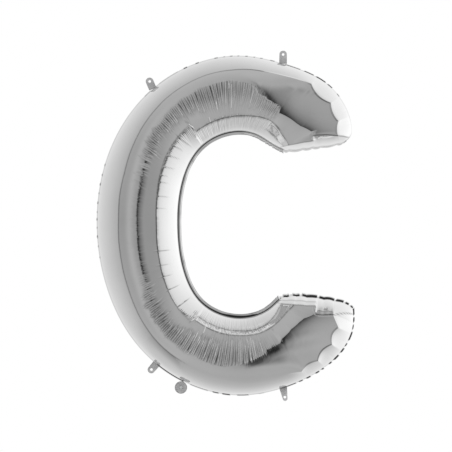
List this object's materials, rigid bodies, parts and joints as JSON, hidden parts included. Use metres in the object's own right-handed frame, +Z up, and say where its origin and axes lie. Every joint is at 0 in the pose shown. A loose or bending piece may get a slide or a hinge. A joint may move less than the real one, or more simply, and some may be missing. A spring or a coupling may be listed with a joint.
{
  "type": "letter foil balloon",
  "caption": "Filled silver foil balloon in the shape of a capital C, with a flat welded rim, punched hanging tabs and a round inflation neck.",
  "frame": {"origin": "middle of the letter's outer oval, in the plane of the weld", "axes": "+Z up along the letter's height, +X to the letter's right as it is read, +Y towards its back; the front foil is on the -Y side"},
  "size_m": [0.6758, 0.211, 0.911],
  "materials": {
    "silver_foil": "bright silver metallised film, mirror smooth with fine creases",
    "welded_foil": "silver film heat welded flat, finely ribbed, a little duller than the sheets",
    "tab_foil": "two layers of silver film welded all over, satin",
    "valve_film": "milky plastic film"
  },
  "bodies": {
    "root": {"front_panel": "silver_foil", "back_panel": "silver_foil", "outer_seam": "welded_foil", "inner_seam": "welded_foil", "upper_end_seam": "welded_foil", "lower_end_seam": "welded_foil", "tab_upper_left": "tab_foil", "tab_upper_right": "tab_foil", "tab_lower_left": "tab_foil", "tab_lower_right": "tab_foil", "valve_neck_front": "tab_foil", "valve_neck_back": "tab_foil", "valve_film": "valve_film"}
  },
  "joints": []
}
